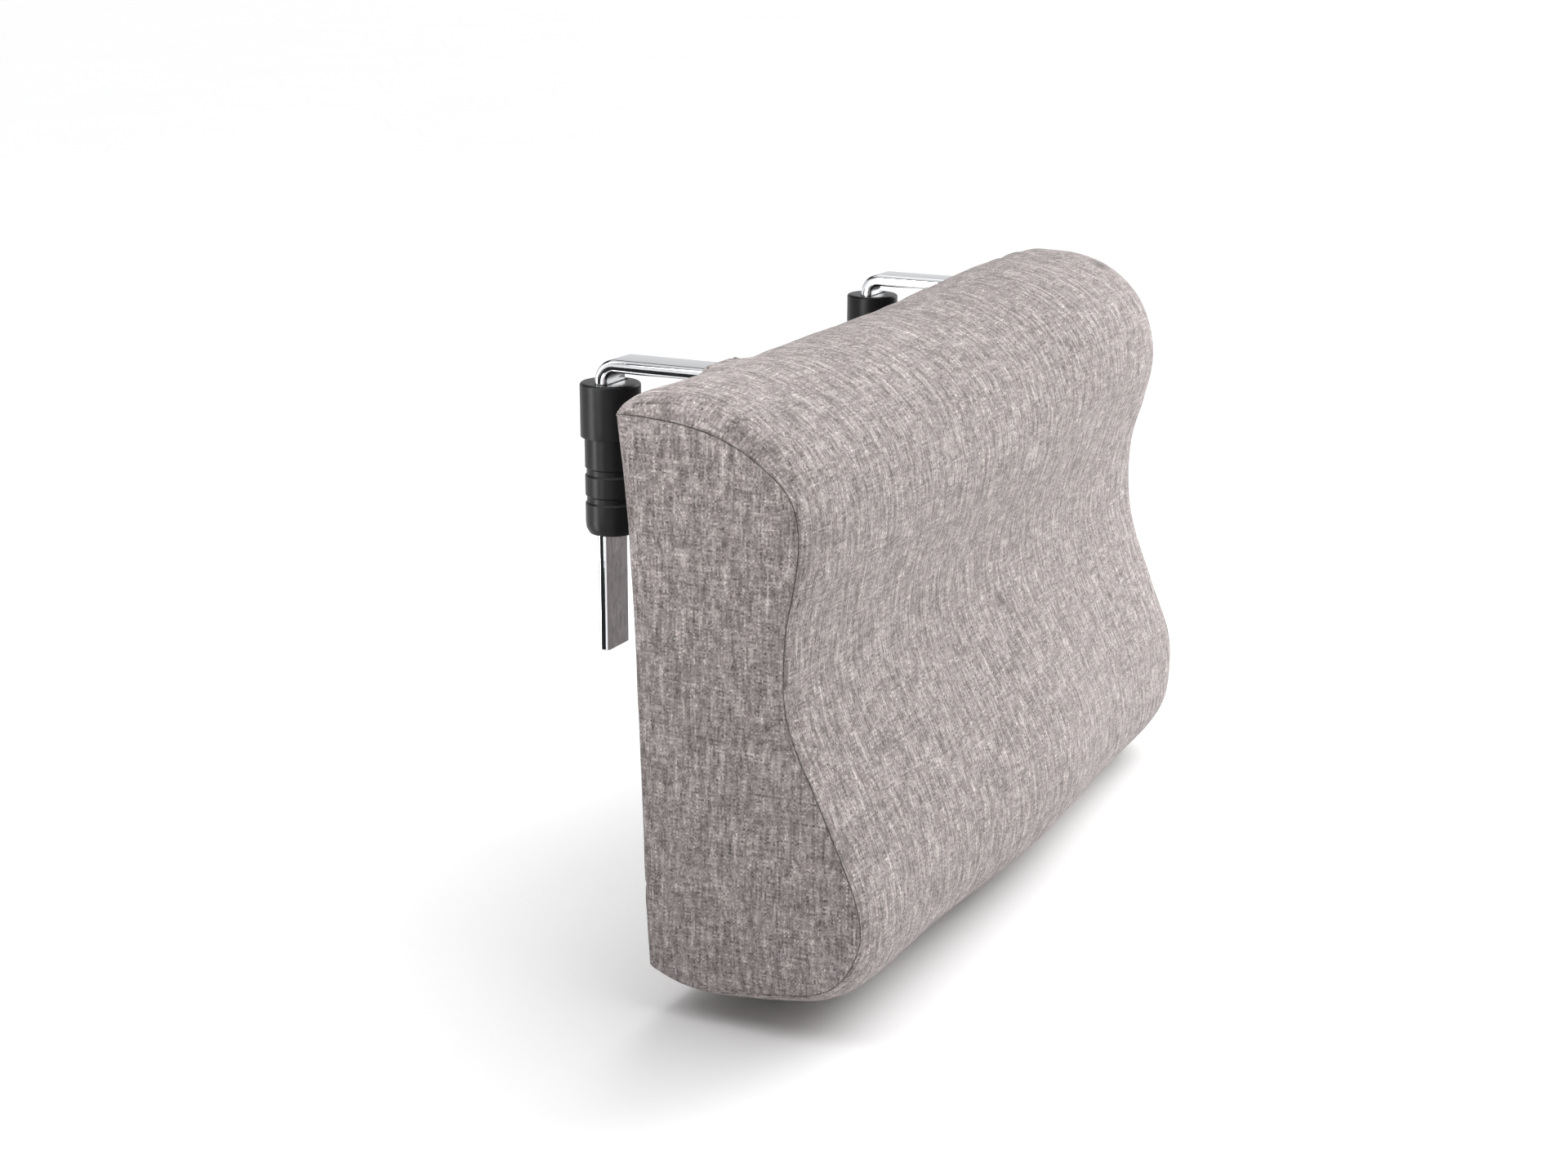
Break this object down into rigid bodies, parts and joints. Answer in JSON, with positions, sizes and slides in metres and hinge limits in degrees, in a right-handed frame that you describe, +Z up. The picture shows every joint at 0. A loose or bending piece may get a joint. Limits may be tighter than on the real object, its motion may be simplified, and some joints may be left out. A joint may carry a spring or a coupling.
{
  "type": "chair headrest attachment",
  "caption": "Contoured, fabric-covered neck and head cushion that hangs over the front of a chair back on two flat-steel arms, which slide up and down in two plastic sockets.",
  "frame": {"origin": "midway between the two socket collars, on the plane of their undersides, where they seat on the chair's two bosses", "axes": "+X across the width of the cushion, +Y to the rear of the chair, +Z up along the sockets"},
  "size_m": [0.46, 0.181, 0.2648],
  "materials": {
    "melange_fabric": "matte",
    "foam": "matte",
    "wadding": "matte",
    "plywood": "matte",
    "chrome_bar": "polished",
    "zinc_fastener": "satin",
    "black_plastic": "satin",
    "zip_tape": "matte",
    "zip_coil": "satin",
    "nickel": "satin"
  },
  "bodies": {
    "sockets": {"socket_left": "black_plastic", "socket_right": "black_plastic"},
    "headrest": {"arm_left": "chrome_bar", "arm_right": "chrome_bar", "arm_screw_left_upper": "zinc_fastener", "arm_screw_left_lower": "zinc_fastener", "arm_screw_right_upper": "zinc_fastener", "arm_screw_right_lower": "zinc_fastener", "tee_nut_left_upper": "zinc_fastener", "tee_nut_left_lower": "zinc_fastener", "tee_nut_right_upper": "zinc_fastener", "tee_nut_right_lower": "zinc_fastener", "back_board": "plywood", "foam_front": "foam", "foam_back": "foam", "wadding_wrap": "wadding", "cover_main": "melange_fabric", "cover_side_left": "melange_fabric", "cover_side_right": "melange_fabric", "cover_back_upper": "melange_fabric", "cover_back_lower": "melange_fabric", "zip_tape_upper": "zip_tape", "zip_tape_lower": "zip_tape", "zip_chain": "zip_coil", "zip_stop_left": "nickel", "zip_stop_right": "nickel"},
    "slider": {"zip_slider": "nickel"},
    "pull": {"zip_pull": "nickel"}
  },
  "joints": [
    {"name": "height_slide", "type": "slide", "parent": "sockets", "child": "headrest", "axis": [0, 0, 1], "range_m": [0, 0.07]},
    {"name": "zip_slide", "type": "slide", "parent": "headrest", "child": "slider", "axis": [1, 0, 0], "range_m": [-0.384, 0]},
    {"name": "pull_hinge", "type": "hinge", "parent": "slider", "child": "pull", "pos_m": [0.192, -0.06213, -0.17689], "axis": [0, 0.044, 0.999], "range_deg": [0, 180]}
  ]
}
